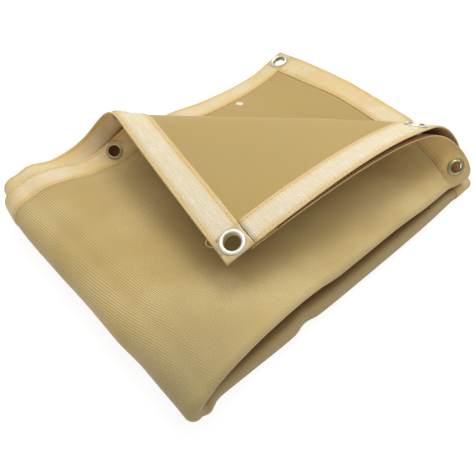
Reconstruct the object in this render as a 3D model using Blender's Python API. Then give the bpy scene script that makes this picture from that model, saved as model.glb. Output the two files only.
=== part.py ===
"""Shade netting, folded in half twice, its free corner rolled back over the pile.

Lengths in the tables are millimetres in the frame of the pile: x runs along the
side fold from the end fold, y runs along the end fold from the side fold, z is up.
The cloth itself is measured by p, along its length, and q, across its width, both
from the point where the two folds cross.
"""
import math

import bmesh
import bpy
import numpy as np
from mathutils import Vector
from mathutils.geometry import delaunay_2d_cdt

MM = 0.001

# The folded cloth
HALF_LENGTH = 400.7
OUTER_WIDTH = 295.5
INNER_WIDTH = 317.3
END_FOLD_RUN = 31.0
SIDE_FOLD_RUN = 16.5
P_END = HALF_LENGTH + END_FOLD_RUN
Q_OUTER = OUTER_WIDTH + SIDE_FOLD_RUN
Q_INNER = INNER_WIDTH + SIDE_FOLD_RUN

PANEL_THICKNESS = 1.6
BORDER_THICKNESS = 2.4
END_BORDER_WIDTH = 30.0
SIDE_BORDER_WIDTH = 27.5
SEAM_GAP = 0.3

# The roll that carries the free corner of the two upper plies
ROLL_ANGLE = 0.681
ROLL_START = (230.2, 297.0)
ROLL_RADIUS = (32.4, 29.2)
ROLL_TURN = (3.475, 2.724)
FLAP_RELAX = 0.0024
ROLL_SPAN = (-0.6, 1.3)
FOLD_EASE = 20.0
LEVEL_RUN = 25.0

# Heights of the plies, a row per section across the pile
X_STATIONS = [0.0, 17.0, 40.0, 65.0, 100.0, 150.0, 200.0, 250.0, 300.0, 345.0, 372.0, 400.0]
Y_STATIONS = [0.0, 40.0, 100.0, 170.0, 250.0, 317.0]
TOP_PLY = [
    [46.4, 48.5, 48.5, 48.0, 47.0, 46.5, 46.5, 46.5, 46.5, 46.0, 46.0, 40.0],
    [48.0, 49.5, 48.5, 46.5, 45.0, 44.0, 43.5, 43.0, 42.0, 40.0, 43.2, 43.2],
    [48.0, 50.0, 47.0, 43.5, 41.5, 40.5, 40.0, 40.0, 41.0, 42.0, 42.0, 42.0],
    [47.5, 50.0, 46.0, 41.0, 38.5, 38.0, 38.0, 38.0, 38.0, 38.0, 38.0, 38.0],
    [46.5, 49.5, 45.5, 37.0, 34.5, 34.0, 34.0, 34.0, 34.0, 34.0, 34.0, 34.0],
    [46.5, 50.5, 43.5, 35.5, 34.0, 34.0, 34.0, 34.0, 34.0, 34.0, 34.0, 34.0],
]
UPPER_SPACING = [13.7, 11.5, 9.0, 8.4, 7.0, 6.4]
THIRD_PLY = [
    [22.0, 22.0, 21.5, 21.0, 21.0, 21.0, 21.0, 21.0, 20.5, 20.0, 20.0, 20.0],
    [19.0, 18.5, 18.0, 18.0, 18.5, 19.0, 18.0, 17.0, 16.0, 17.0, 22.0, 30.0],
    [14.0, 14.0, 14.5, 15.0, 16.0, 17.0, 17.0, 18.0, 21.0, 31.0, 41.0, 48.5],
    [11.0, 11.5, 13.0, 15.0, 17.0, 18.0, 18.0, 19.0, 25.0, 36.0, 43.0, 48.5],
    [9.0, 10.0, 12.0, 14.0, 18.0, 20.0, 19.0, 15.0, 17.0, 25.0, 33.0, 42.0],
    [9.5, 10.0, 11.5, 14.0, 18.0, 22.0, 21.5, 14.5, 12.0, 14.0, 22.0, 31.0],
]
BOTTOM_PLY = 0.8
BOTTOM_EDGE_LIFT = 3.0
BOTTOM_LIFT_X = (325.0, 362.0)
BOTTOM_LIFT_Y = (222.0, 258.0)

# How far the folds stand out, along each fold
END_FOLD_STATIONS = [0.0, 30.0, 57.0, 92.0, 135.0, 199.0, 259.0, 317.0]
END_FOLD_OUT = [-9.0, -9.5, -10.0, -13.7, -16.0, -21.5, -25.3, -22.0]
UPPER_FOLD_STATIONS = [0.0, 12.0, 26.0, 42.0, 70.0, 110.0, 150.0, 172.0, 200.0, 330.0, 400.0]
UPPER_FOLD_OUT = [-5.9, -3.2, -2.2, 1.0, 4.8, 8.2, 9.4, 8.7, 6.1, 5.0, 8.9]
LOWER_FOLD_STATIONS = [0.0, 12.0, 24.0, 40.0, 70.0, 130.0, 148.0, 165.0, 200.0, 330.0, 400.0]
LOWER_FOLD_OUT = [-5.8, -2.8, -4.4, 0.3, -0.5, -2.3, 0.8, -2.0, -3.2, -5.0, -4.0]

# Beside the side fold: the upper pair sags towards the open end, the lower is tucked in at the end fold
SAG_START = 250.0
SAG_POWER = 1.5
SAG_SPAN = 1.1
SAG = (-11.7, -5.0, -24.0)
SAG_REACH = (62.0, 60.0, 18.0)
TUCK = 3.7
TUCK_REACH = 41.0
# The cloth is drawn flat round the eyelet nearest the fold: its place in the cloth, flat and eased radius
TAUT_CENTRE = (416.8, 25.0)
TAUT_RADII = (12.6, 26.0)
TAUT_PROBE = 9.0

# Grid lines of the cloth
BEND_STEPS = 8
SIDE_BEND_STEPS = 6
LINE_STEP = 15.0
LOWER_LINE_STEP = 27.0

# Eyelets
EYELET_SEAT_RADIUS = 12.2
EYELET_HOLE_RADIUS = 8.0
EYELET_SIDES = 12
# columns: border, p, q, side of the cloth with the flange
EYELETS = [
    ("border_outer_plies", 416.2, 298.0, -1),
    ("border_outer_plies", 138.7, 298.5, -1),
    ("border_outer_plies", -138.7, 298.0, -1),
    ("border_outer_plies", -416.2, 298.0, -1),
    ("border_inner_plies", 416.2, -319.8, 1),
    ("border_inner_plies", 184.0, -319.8, 1),
    ("border_inner_plies", -138.7, -319.8, 1),
    ("border_inner_plies", -416.2, -319.8, 1),
    ("border_upper_end", 416.8, 25.0, -1),
    ("border_upper_end", 416.2, -105.5, 1),
    ("border_lower_end", -416.2, 91.6, -1),
    ("border_lower_end", -416.2, -93.0, 1),
]
# columns: radius, height above the middle of the border, flange side positive
EYELET_PROFILE = [
    (12.0, 1.5),
    (11.5, 2.6),
    (8.6, 2.6),
    (6.3, 0.6),
    (6.3, -2.9),
    (8.0, -2.9),
    (10.0, -2.1),
    (10.0, -1.5),
    (7.6, -1.5),
    (7.6, 1.5),
]

NET_COLOUR = (0.45, 0.30, 0.11, 1.0)
BORDER_COLOUR = (0.72, 0.60, 0.38, 1.0)
BRASS_COLOUR = (0.80, 0.76, 0.58, 1.0)


def table_slopes(stations, values):
    """Slopes that keep each bump where the table puts it."""
    steps = np.diff(stations).reshape((-1,) + (1,) * (values.ndim - 1))
    rise = np.diff(values, axis=0) / steps
    slopes = np.empty_like(values)
    slopes[0] = 0.0
    slopes[-1] = rise[-1]
    before = rise[:-1]
    after = rise[1:]
    same = before * after > 0
    total = np.where(same, before + after, 1.0)
    slopes[1:-1] = np.where(same, 2 * before * after / total, 0.0)
    return slopes


def blend(share, step, first, second, slope_first, slope_second):
    square = share ** 2
    cube = share ** 3
    start = (2 * cube - 3 * square + 1) * first + (cube - 2 * square + share) * step * slope_first
    end = (3 * square - 2 * cube) * second + (cube - square) * step * slope_second
    return start + end


def along(stations, values, where):
    """Smooth value of a one-row table."""
    stations = np.asarray(stations, float)
    values = np.asarray(values, float)
    slopes = table_slopes(stations, values)
    where = np.clip(where, stations[0], stations[-1])
    i = np.clip(np.searchsorted(stations, where, side="right") - 1, 0, len(stations) - 2)
    step = stations[i + 1] - stations[i]
    share = (where - stations[i]) / step
    return blend(share, step, values[i], values[i + 1], slopes[i], slopes[i + 1])


def table_height(table, x, y):
    """Smooth value of a table of heights."""
    rows = np.array([along(X_STATIONS, row, x) for row in table])
    stations = np.asarray(Y_STATIONS)
    slopes = table_slopes(stations, rows)
    y = np.clip(y, stations[0], stations[-1])
    i = np.clip(np.searchsorted(stations, y, side="right") - 1, 0, len(stations) - 2)
    k = np.arange(len(y))
    step = stations[i + 1] - stations[i]
    share = (y - stations[i]) / step
    return blend(share, step, rows[i, k], rows[i + 1, k], slopes[i, k], slopes[i + 1, k])


def ramp(value, limits):
    share = np.clip((value - limits[0]) / (limits[1] - limits[0]), 0.0, 1.0)
    return share * share * (3.0 - 2.0 * share)


def upper_pair(x, y):
    """Middle height and half spacing of plies 1 and 2."""
    top = table_height(TOP_PLY, x, y)
    spacing = along(Y_STATIONS, UPPER_SPACING, y)
    return top - spacing / 2, spacing / 2


def lower_pair(x, y):
    """Middle height and half spacing of plies 3 and 4."""
    third = table_height(THIRD_PLY, x, y)
    flat_x = 1.0 - ramp(x, BOTTOM_LIFT_X)
    flat_y = 1.0 - ramp(y, BOTTOM_LIFT_Y)
    bottom = BOTTOM_PLY + BOTTOM_EDGE_LIFT * (1.0 - flat_x * flat_y)
    return (third + bottom) / 2, (third - bottom) / 2


def eased(x, fold_x):
    """Table station of x: the tables start at the fold, wherever it stands."""
    return x - fold_x * np.exp(-((x - fold_x) / FOLD_EASE) ** 2)


def rolled(x, y, fold_x):
    """Where the roll carries a point of the upper pair that lay flat at x, y."""
    n_x = math.cos(ROLL_ANGLE)
    n_y = math.sin(ROLL_ANGLE)
    across = x * n_x + y * n_y
    beside = x * n_y - y * n_x
    left = ((ROLL_START[0] - INNER_WIDTH * n_y) / n_x) * n_y - INNER_WIDTH * n_x
    right = HALF_LENGTH * n_y - ((ROLL_START[1] - HALF_LENGTH * n_x) / n_y) * n_x
    share = np.clip((beside - left) / (right - left), *ROLL_SPAN)
    start = ROLL_START[0] + (ROLL_START[1] - ROLL_START[0]) * share
    radius = ROLL_RADIUS[0] + (ROLL_RADIUS[1] - ROLL_RADIUS[0]) * share
    turn = ROLL_TURN[0] + (ROLL_TURN[1] - ROLL_TURN[0]) * share
    past = across - start
    angle = np.clip(past, 0.0, radius * turn) / radius
    back = np.maximum(past, 0.0)
    base = upper_pair(eased(x - back * n_x, fold_x), y - back * n_y)[0]
    flap = np.maximum(past - radius * turn, 0.0)
    reach = start + np.minimum(past, 0.0) + radius * np.sin(angle)
    reach = reach + (np.sin(turn + FLAP_RELAX * flap) - np.sin(turn)) / FLAP_RELAX
    lift = radius * (1.0 - np.cos(angle))
    lift = lift - (np.cos(turn + FLAP_RELAX * flap) - np.cos(turn)) / FLAP_RELAX
    return reach * n_x + beside * n_y, reach * n_y - beside * n_x, base + lift


def sag(x, y):
    """How far the upper pair is drawn out of place beside its side fold."""
    share = np.clip((x - SAG_START) / (HALF_LENGTH - SAG_START), 0.0, SAG_SPAN) ** SAG_POWER
    return [share * pull * np.exp(-(y / reach) ** 2) for pull, reach in zip(SAG, SAG_REACH)]


def pair_middle(p, y):
    """Middle surface of each pair of plies, with the half spacing there."""
    zero = np.zeros_like(y)
    upper_start, upper_half = upper_pair(zero, y)
    lower_start, lower_half = lower_pair(zero, y)
    radius = (upper_start - lower_start) / 2
    centre = (upper_start + lower_start) / 2
    fold_x = along(END_FOLD_STATIONS, END_FOLD_OUT, y) + radius + (upper_half + lower_half) / 2
    angle = np.clip(p / END_FOLD_RUN, -1.0, 1.0) * math.pi / 2
    run = np.maximum(np.abs(p) - END_FOLD_RUN, 0.0)
    upper = p > 0
    tuck = TUCK * np.exp(-(y / TUCK_REACH) ** 2)
    start_x = fold_x + np.where(upper, 0.0, tuck)
    x = start_x + run * (HALF_LENGTH - start_x) / HALF_LENGTH
    roll_x, roll_y, roll_z = rolled(x, y, fold_x)
    sag_x, sag_y, sag_z = sag(x, y)
    low_z, low_half = lower_pair(eased(x, start_x), y)
    bend = np.abs(p) < END_FOLD_RUN
    bend_x = fold_x - radius * np.cos(angle) + tuck * (1.0 - np.sin(angle)) / 2
    place_x = np.where(bend, bend_x, np.where(upper, roll_x + sag_x, x))
    place_y = np.where(bend, y, np.where(upper, roll_y + sag_y, y))
    place_z = np.where(bend, centre + radius * np.sin(angle), np.where(upper, roll_z + sag_z, low_z))
    share = (1.0 + np.sin(angle)) / 2
    bend_half = lower_half * (1.0 - share) + upper_half * share
    half = np.where(bend, bend_half, np.where(upper, upper_pair(x, y)[1], low_half))
    return np.stack([place_x, place_y, place_z], -1), half


def unit(vectors):
    return vectors / np.linalg.norm(vectors, axis=-1, keepdims=True)


def pair_normal(p, y):
    """Outward side of a pair; the lower pair is spaced straight down, so its underside lies flat."""
    step = 0.4
    along_p = pair_middle(p + step, y)[0] - pair_middle(p - step, y)[0]
    along_y = pair_middle(p, y + step)[0] - pair_middle(p, y - step)[0]
    normal = unit(np.cross(along_p, along_y))
    past = np.clip(-END_FOLD_RUN - p, 0.0, LEVEL_RUN) / LEVEL_RUN
    share = (past * past * (3.0 - 2.0 * past))[:, None]
    return unit(normal * (1.0 - share) + np.array([0.0, 0.0, -1.0]) * share)


def drape(p, q):
    """Place in the pile of the point p, q, before the cloth is drawn flat anywhere."""
    p = np.asarray(p, float)
    q = np.asarray(q, float)
    x = np.abs(p)
    upper_out = along(UPPER_FOLD_STATIONS, UPPER_FOLD_OUT, x)
    lower_out = along(LOWER_FOLD_STATIONS, LOWER_FOLD_OUT, x)
    fold_y = np.where(p > 0, upper_out, lower_out)
    radius = pair_middle(p, fold_y + 8.0)[1]
    centre_y = fold_y + radius
    angle = np.clip(q / SIDE_FOLD_RUN, -1.0, 1.0) * math.pi / 2
    bend = np.abs(q) < SIDE_FOLD_RUN
    width = np.where(q > 0, OUTER_WIDTH, INNER_WIDTH)
    run = np.maximum(np.abs(q) - SIDE_FOLD_RUN, 0.0)
    y = np.where(bend, centre_y - radius * np.cos(angle), centre_y + run * (width - centre_y) / width)
    middle, half = pair_middle(p, y)
    fold_half = pair_middle(p, centre_y)[1]
    offset = np.where(bend, fold_half * np.sin(angle), np.sign(q) * half)
    return middle + offset[:, None] * pair_normal(p, y)


def taut_plane():
    """Middle and two directions of the cloth where it is drawn flat."""
    turns = np.arange(12) * math.pi / 6
    ring = drape(TAUT_CENTRE[0] + TAUT_PROBE * np.cos(turns), TAUT_CENTRE[1] + TAUT_PROBE * np.sin(turns))
    along_p = unit((ring * np.cos(turns)[:, None]).sum(axis=0))
    along_q = (ring * np.sin(turns)[:, None]).sum(axis=0)
    along_q = unit(along_q - along_p * (along_q @ along_p))
    return ring.mean(axis=0), along_p, along_q


TAUT_ORIGIN, TAUT_P, TAUT_Q = taut_plane()


def place(p, q):
    """Place in the pile of the point p, q of the cloth."""
    p = np.asarray(p, float)
    q = np.asarray(q, float)
    beside_p = p - TAUT_CENTRE[0]
    beside_q = q - TAUT_CENTRE[1]
    share = (1.0 - ramp(np.hypot(beside_p, beside_q), TAUT_RADII))[:, None]
    flat = TAUT_ORIGIN + beside_p[:, None] * TAUT_P + beside_q[:, None] * TAUT_Q
    return drape(p, q) * (1.0 - share) + flat * share


def cloth_normal(p, q):
    """Outward side of the cloth: up on plies 1 and 3."""
    step = 0.4
    along_p = place(p + step, q) - place(p - step, q)
    along_q = place(p, q + step) - place(p, q - step)
    return unit(np.cross(along_p, along_q))


def even_lines(first, last, step):
    count = max(1, math.ceil(abs(last - first) / step))
    return list(np.linspace(first, last, count + 1))


def p_lines(end):
    lower = even_lines(-end, -END_FOLD_RUN, LOWER_LINE_STEP)
    bend = even_lines(-END_FOLD_RUN, END_FOLD_RUN, 2 * END_FOLD_RUN / BEND_STEPS)
    upper = even_lines(END_FOLD_RUN, end, LINE_STEP)
    return lower[:-1] + bend[:-1] + upper


def q_lines(inner_end, outer_end):
    inner = even_lines(-inner_end, -SIDE_FOLD_RUN, LINE_STEP)
    bend = even_lines(-SIDE_FOLD_RUN, SIDE_FOLD_RUN, 2 * SIDE_FOLD_RUN / SIDE_BEND_STEPS)
    outer = even_lines(SIDE_FOLD_RUN, outer_end, LINE_STEP)
    return inner[:-1] + bend[:-1] + outer


def thicken(name, middle, normals, faces, thickness, material):
    """Closed solid on both sides of a surface of triangles or quads."""
    count = len(middle)
    upper = middle + normals * thickness / 2
    lower = middle - normals * thickness / 2
    corners = np.vstack([upper, lower])
    polygons = [list(face) for face in faces]
    polygons += [[i + count for i in reversed(face)] for face in faces]
    edges = {}
    for face in faces:
        for i, first in enumerate(face):
            second = face[(i + 1) % len(face)]
            edges[(first, second)] = True
    for first, second in edges:
        if (second, first) not in edges:
            polygons.append([second, first, first + count, second + count])
    return add_object(name, corners, polygons, material)


def add_object(name, corners, polygons, material):
    mesh = bpy.data.meshes.new(name)
    mesh.from_pydata([tuple(corner) for corner in corners * MM], [], polygons)
    edit = bmesh.new()
    edit.from_mesh(mesh)
    bmesh.ops.triangulate(edit, faces=edit.faces[:])
    bmesh.ops.recalc_face_normals(edit, faces=edit.faces[:])
    edit.to_mesh(mesh)
    edit.free()
    mesh.validate()
    mesh.shade_smooth()
    mesh.materials.append(material)
    result = bpy.data.objects.new(name, mesh)
    bpy.context.scene.collection.objects.link(result)
    return result


def make_material(name, colour, roughness, metallic):
    material = bpy.data.materials.new(name)
    material.use_nodes = True
    shader = material.node_tree.nodes["Principled BSDF"]
    shader.inputs["Base Color"].default_value = colour
    shader.inputs["Roughness"].default_value = roughness
    shader.inputs["Metallic"].default_value = metallic
    material.diffuse_color = colour
    return material


def make_panel(material):
    """The net inside the borders, one sheet over all four plies."""
    end = P_END - END_BORDER_WIDTH - SEAM_GAP
    lines_p = p_lines(end)
    inner_end = Q_INNER - SIDE_BORDER_WIDTH - SEAM_GAP
    outer_end = Q_OUTER - SIDE_BORDER_WIDTH - SEAM_GAP
    lines_q = q_lines(inner_end, outer_end)
    p, q = np.meshgrid(lines_p, lines_q, indexing="ij")
    p = p.ravel()
    q = q.ravel()
    columns = len(lines_q)
    faces = []
    for i in range(len(lines_p) - 1):
        for j in range(columns - 1):
            first = i * columns + j
            faces.append((first, first + columns, first + columns + 1, first + 1))
    return thicken("panel", place(p, q), cloth_normal(p, q), faces, PANEL_THICKNESS, material)


def seat(centre):
    """Flat place of an eyelet: origin, two directions in the cloth, outward side."""
    turns = np.arange(EYELET_SIDES) * 2 * math.pi / EYELET_SIDES
    ring_p = centre[0] + EYELET_SEAT_RADIUS * np.cos(turns)
    ring_q = centre[1] + EYELET_SEAT_RADIUS * np.sin(turns)
    ring = place(ring_p, ring_q)
    origin = ring.mean(axis=0)
    along_p = unit((ring * np.cos(turns)[:, None]).sum(axis=0))
    along_q = (ring * np.sin(turns)[:, None]).sum(axis=0)
    along_q = unit(along_q - along_p * (along_q @ along_p))
    return origin, along_p, along_q, np.cross(along_p, along_q)


def make_border(name, limits_p, limits_q, lines, runs_along_p, centres, material):
    """A hem strip with its eyelet holes; its long sides follow the cloth's grid lines."""
    if runs_along_p:
        rails = (limits_q[0], sum(limits_q) / 2, limits_q[1])
    else:
        rails = (limits_p[0], sum(limits_p) / 2, limits_p[1])
    points = []
    for k, rail in enumerate(rails):
        for line in lines:
            point = (line, rail) if runs_along_p else (rail, line)
            clear = all(math.dist(point, centre) > EYELET_SEAT_RADIUS + 1.5 for centre in centres)
            if k != 1 or clear:
                points.append(point)
    edges = []
    count = len(lines)
    for k in range(count - 1):
        edges.append((k, k + 1))
        edges.append((len(points) - count + k, len(points) - count + k + 1))
    for centre in centres:
        for radius in (EYELET_HOLE_RADIUS, EYELET_SEAT_RADIUS):
            base = len(points)
            for k in range(EYELET_SIDES):
                turn = k * 2 * math.pi / EYELET_SIDES
                points.append((centre[0] + radius * math.cos(turn), centre[1] + radius * math.sin(turn)))
                edges.append((base + k, base + (k + 1) % EYELET_SIDES))
    flat = [Vector(point) for point in points]
    result = delaunay_2d_cdt(flat, edges, [], 0, 1e-5)
    flat = np.array([tuple(corner) for corner in result[0]])
    faces = []
    for face in result[2]:
        middle = flat[list(face)].mean(axis=0)
        if all(math.dist(middle, centre) > EYELET_HOLE_RADIUS for centre in centres):
            faces.append(tuple(face))
    middle = place(flat[:, 0], flat[:, 1])
    normals = cloth_normal(flat[:, 0], flat[:, 1])
    for centre in centres:
        origin, along_p, along_q, outward = seat(centre)
        shift = flat - np.array(centre)
        inside = np.linalg.norm(shift, axis=1) < EYELET_SEAT_RADIUS + 0.1
        middle[inside] = origin + shift[inside, :1] * along_p + shift[inside, 1:] * along_q
        normals[inside] = outward
    return thicken(name, middle, normals, faces, BORDER_THICKNESS, material)


def make_eyelet(name, centre, flange_side, material):
    origin, along_p, along_q, outward = seat(centre)
    corners = []
    for k in range(EYELET_SIDES):
        turn = k * 2 * math.pi / EYELET_SIDES
        radial = along_p * math.cos(turn) + along_q * math.sin(turn)
        for radius, height in EYELET_PROFILE:
            corners.append(origin + radial * radius + outward * height * flange_side)
    rows = len(EYELET_PROFILE)
    total = rows * EYELET_SIDES
    polygons = []
    for k in range(EYELET_SIDES):
        for i in range(rows):
            j = (i + 1) % rows
            first = k * rows
            second = (first + rows) % total
            polygons.append([first + i, first + j, second + j, second + i])
    return add_object(name, np.array(corners), polygons, material)


def make_borders_and_eyelets(tape, brass):
    seam_p = P_END - END_BORDER_WIDTH
    inner_end = Q_INNER - SIDE_BORDER_WIDTH - SEAM_GAP
    outer_end = Q_OUTER - SIDE_BORDER_WIDTH - SEAM_GAP
    long_lines = [-P_END] + p_lines(seam_p - SEAM_GAP) + [P_END]
    short_lines = q_lines(inner_end, outer_end)
    ends = (-P_END, P_END)
    sides = (-inner_end, outer_end)
    # columns: name, limits along p, limits along q, grid lines, whether it runs along p
    borders = [
        ("border_outer_plies", ends, (Q_OUTER - SIDE_BORDER_WIDTH, Q_OUTER), long_lines, True),
        ("border_inner_plies", ends, (-Q_INNER, SIDE_BORDER_WIDTH - Q_INNER), long_lines, True),
        ("border_upper_end", (seam_p, P_END), sides, short_lines, False),
        ("border_lower_end", (-P_END, -seam_p), sides, short_lines, False),
    ]
    for name, limits_p, limits_q, lines, runs_along_p in borders:
        centres = [(p, q) for border, p, q, side in EYELETS if border == name]
        make_border(name, limits_p, limits_q, lines, runs_along_p, centres, tape)
    for number, (border, p, q, side) in enumerate(EYELETS, start=1):
        make_eyelet(f"eyelet_{number:02d}", (p, q), side, brass)


def centre_on_floor():
    """Origin at the middle of the underside of the whole pile."""
    corners = []
    for part in bpy.data.objects:
        for vertex in part.data.vertices:
            corners.append(tuple(vertex.co))
    corners = np.array(corners)
    low = corners.min(axis=0)
    high = corners.max(axis=0)
    shift = Vector((-(low[0] + high[0]) / 2, -(low[1] + high[1]) / 2, -low[2]))
    for part in bpy.data.objects:
        for vertex in part.data.vertices:
            vertex.co = vertex.co + shift
    return shift


def main():
    for old in list(bpy.data.objects):
        bpy.data.objects.remove(old, do_unlink=True)
    net = make_material("net", NET_COLOUR, 0.85, 0.0)
    border = make_material("border_tape", BORDER_COLOUR, 0.8, 0.0)
    brass = make_material("eyelet_brass", BRASS_COLOUR, 0.3, 1.0)
    make_panel(net)
    make_borders_and_eyelets(border, brass)
    centre_on_floor()


main()
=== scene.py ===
"""Looks of the folded shade netting: fine net, tape borders, eyelets, stitching."""
import math

import bpy
import numpy as np
from mathutils import Matrix, Vector
from mathutils.geometry import delaunay_2d_cdt


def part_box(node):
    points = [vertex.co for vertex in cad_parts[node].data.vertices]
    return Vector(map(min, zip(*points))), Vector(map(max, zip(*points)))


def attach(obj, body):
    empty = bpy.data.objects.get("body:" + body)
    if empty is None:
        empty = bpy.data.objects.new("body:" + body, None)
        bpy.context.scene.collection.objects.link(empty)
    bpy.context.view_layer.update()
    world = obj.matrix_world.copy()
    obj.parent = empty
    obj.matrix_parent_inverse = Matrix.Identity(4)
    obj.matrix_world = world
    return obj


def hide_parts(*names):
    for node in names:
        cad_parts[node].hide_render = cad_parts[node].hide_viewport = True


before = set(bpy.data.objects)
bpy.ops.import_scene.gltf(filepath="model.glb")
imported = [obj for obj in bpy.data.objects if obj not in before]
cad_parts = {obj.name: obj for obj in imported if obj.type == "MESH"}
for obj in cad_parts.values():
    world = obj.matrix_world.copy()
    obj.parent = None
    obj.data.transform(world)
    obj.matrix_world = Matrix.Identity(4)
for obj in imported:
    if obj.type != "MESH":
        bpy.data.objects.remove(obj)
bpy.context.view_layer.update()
MM = 0.001

# The folded cloth, as in the solids. Lengths are millimetres in the frame of the pile: x runs along
# the side fold, y along the end fold. On the flat cloth p and q run the same ways from the crossing
# of the two folds, and each is negative past its fold.
HALF_LENGTH = 400.7
OUTER_WIDTH = 295.5
INNER_WIDTH = 317.3
END_FOLD_RUN = 31.0
SIDE_FOLD_RUN = 16.5
P_END = HALF_LENGTH + END_FOLD_RUN
Q_OUTER = OUTER_WIDTH + SIDE_FOLD_RUN
Q_INNER = INNER_WIDTH + SIDE_FOLD_RUN
END_BORDER_WIDTH = 30.0
SIDE_BORDER_WIDTH = 27.5

# The roll of the turned-back corner: its direction, then its start, radius and turn at both ends.
ROLL_ANGLE = 0.681
ROLL_START = (230.2, 297.0)
ROLL_RADIUS = (32.4, 29.2)
ROLL_TURN = (3.475, 2.724)
FLAP_RELAX = 0.0024
ROLL_SPAN = (-0.6, 1.3)
FOLD_EASE = 20.0
LEVEL_RUN = 25.0
FOLD_PROBE = 8.0
DIFFERENCE_STEP = 0.4

# Heights of the plies: a row for each y station, a column for each x station.
X_STATIONS = [0.0, 17.0, 40.0, 65.0, 100.0, 150.0, 200.0, 250.0, 300.0, 345.0, 372.0, 400.0]
Y_STATIONS = [0.0, 40.0, 100.0, 170.0, 250.0, 317.0]
TOP_PLY = [
    [46.4, 48.5, 48.5, 48.0, 47.0, 46.5, 46.5, 46.5, 46.5, 46.0, 46.0, 40.0],
    [48.0, 49.5, 48.5, 46.5, 45.0, 44.0, 43.5, 43.0, 42.0, 40.0, 43.2, 43.2],
    [48.0, 50.0, 47.0, 43.5, 41.5, 40.5, 40.0, 40.0, 41.0, 42.0, 42.0, 42.0],
    [47.5, 50.0, 46.0, 41.0, 38.5, 38.0, 38.0, 38.0, 38.0, 38.0, 38.0, 38.0],
    [46.5, 49.5, 45.5, 37.0, 34.5, 34.0, 34.0, 34.0, 34.0, 34.0, 34.0, 34.0],
    [46.5, 50.5, 43.5, 35.5, 34.0, 34.0, 34.0, 34.0, 34.0, 34.0, 34.0, 34.0],
]
UPPER_SPACING = [13.7, 11.5, 9.0, 8.4, 7.0, 6.4]
THIRD_PLY = [
    [22.0, 22.0, 21.5, 21.0, 21.0, 21.0, 21.0, 21.0, 20.5, 20.0, 20.0, 20.0],
    [19.0, 18.5, 18.0, 18.0, 18.5, 19.0, 18.0, 17.0, 16.0, 17.0, 22.0, 30.0],
    [14.0, 14.0, 14.5, 15.0, 16.0, 17.0, 17.0, 18.0, 21.0, 31.0, 41.0, 48.5],
    [11.0, 11.5, 13.0, 15.0, 17.0, 18.0, 18.0, 19.0, 25.0, 36.0, 43.0, 48.5],
    [9.0, 10.0, 12.0, 14.0, 18.0, 20.0, 19.0, 15.0, 17.0, 25.0, 33.0, 42.0],
    [9.5, 10.0, 11.5, 14.0, 18.0, 22.0, 21.5, 14.5, 12.0, 14.0, 22.0, 31.0],
]
BOTTOM_PLY = 0.8
BOTTOM_EDGE_LIFT = 3.0
BOTTOM_LIFT_X = (325.0, 362.0)
BOTTOM_LIFT_Y = (222.0, 258.0)

# How far each fold stands out, along its length.
END_FOLD_STATIONS = [0.0, 30.0, 57.0, 92.0, 135.0, 199.0, 259.0, 317.0]
END_FOLD_OUT = [-9.0, -9.5, -10.0, -13.7, -16.0, -21.5, -25.3, -22.0]
UPPER_FOLD_STATIONS = [0.0, 12.0, 26.0, 42.0, 70.0, 110.0, 150.0, 172.0, 200.0, 330.0, 400.0]
UPPER_FOLD_OUT = [-5.9, -3.2, -2.2, 1.0, 4.8, 8.2, 9.4, 8.7, 6.1, 5.0, 8.9]
LOWER_FOLD_STATIONS = [0.0, 12.0, 24.0, 40.0, 70.0, 130.0, 148.0, 165.0, 200.0, 330.0, 400.0]
LOWER_FOLD_OUT = [-5.8, -2.8, -4.4, 0.3, -0.5, -2.3, 0.8, -2.0, -3.2, -5.0, -4.0]

# The upper pair sinks beside the side fold, and the lower pair is tucked in at the end fold.
# The three values of the sag and of its reach are for x, y and z.
SAG_START = 250.0
SAG_POWER = 1.5
SAG_SPAN = 1.1
SAG = (-11.7, -5.0, -24.0)
SAG_REACH = (62.0, 60.0, 18.0)
TUCK = 3.7
TUCK_REACH = 41.0
# The cloth is drawn flat round one eyelet beside the side fold.
TAUT_CENTRE = (416.8, 25.0)
TAUT_RADII = (12.6, 26.0)
TAUT_PROBE = 9.0

# Eyelets. Columns: border, p, q, side of the cloth with the flange.
EYELETS = [
    ("border_outer_plies", 416.2, 298.0, -1),
    ("border_outer_plies", 138.7, 298.5, -1),
    ("border_outer_plies", -138.7, 298.0, -1),
    ("border_outer_plies", -416.2, 298.0, -1),
    ("border_inner_plies", 416.2, -319.8, 1),
    ("border_inner_plies", 184.0, -319.8, 1),
    ("border_inner_plies", -138.7, -319.8, 1),
    ("border_inner_plies", -416.2, -319.8, 1),
    ("border_upper_end", 416.8, 25.0, -1),
    ("border_upper_end", 416.2, -105.5, 1),
    ("border_lower_end", -416.2, 91.6, -1),
    ("border_lower_end", -416.2, -93.0, 1),
]
SEAT_RADIUS = 12.2
HOLE_RADIUS = 8.0
RING_POINTS = 12

# The photograph's camera, in the frame of the pile.
CAMERA_PLACE = (-32.0, -81.8, 378.1)
CAMERA_PITCH = 54.28
CAMERA_YAW = 48.03
CAMERA_ROLL = -1.41
CAMERA_FOCAL_PX = 426.4
IMAGE_PX = 476
SENSOR_MM = 36.0
CLIP_START = 0.01


def table_slopes(stations, values):
    """Slopes at the stations that keep the curve from overshooting."""
    steps = np.diff(stations).reshape((-1,) + (1,) * (values.ndim - 1))
    rise = np.diff(values, axis=0) / steps
    slopes = np.empty_like(values)
    slopes[0] = 0.0
    slopes[-1] = rise[-1]
    before = rise[:-1]
    after = rise[1:]
    same = before * after > 0
    total = np.where(same, before + after, 1.0)
    slopes[1:-1] = np.where(same, 2 * before * after / total, 0.0)
    return slopes


def blend(share, step, first, second, slope_first, slope_second):
    """Cubic curve between two stations."""
    square = share ** 2
    cube = share ** 3
    start = (2 * cube - 3 * square + 1) * first + (cube - 2 * square + share) * step * slope_first
    end = (3 * square - 2 * cube) * second + (cube - square) * step * slope_second
    return start + end


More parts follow.
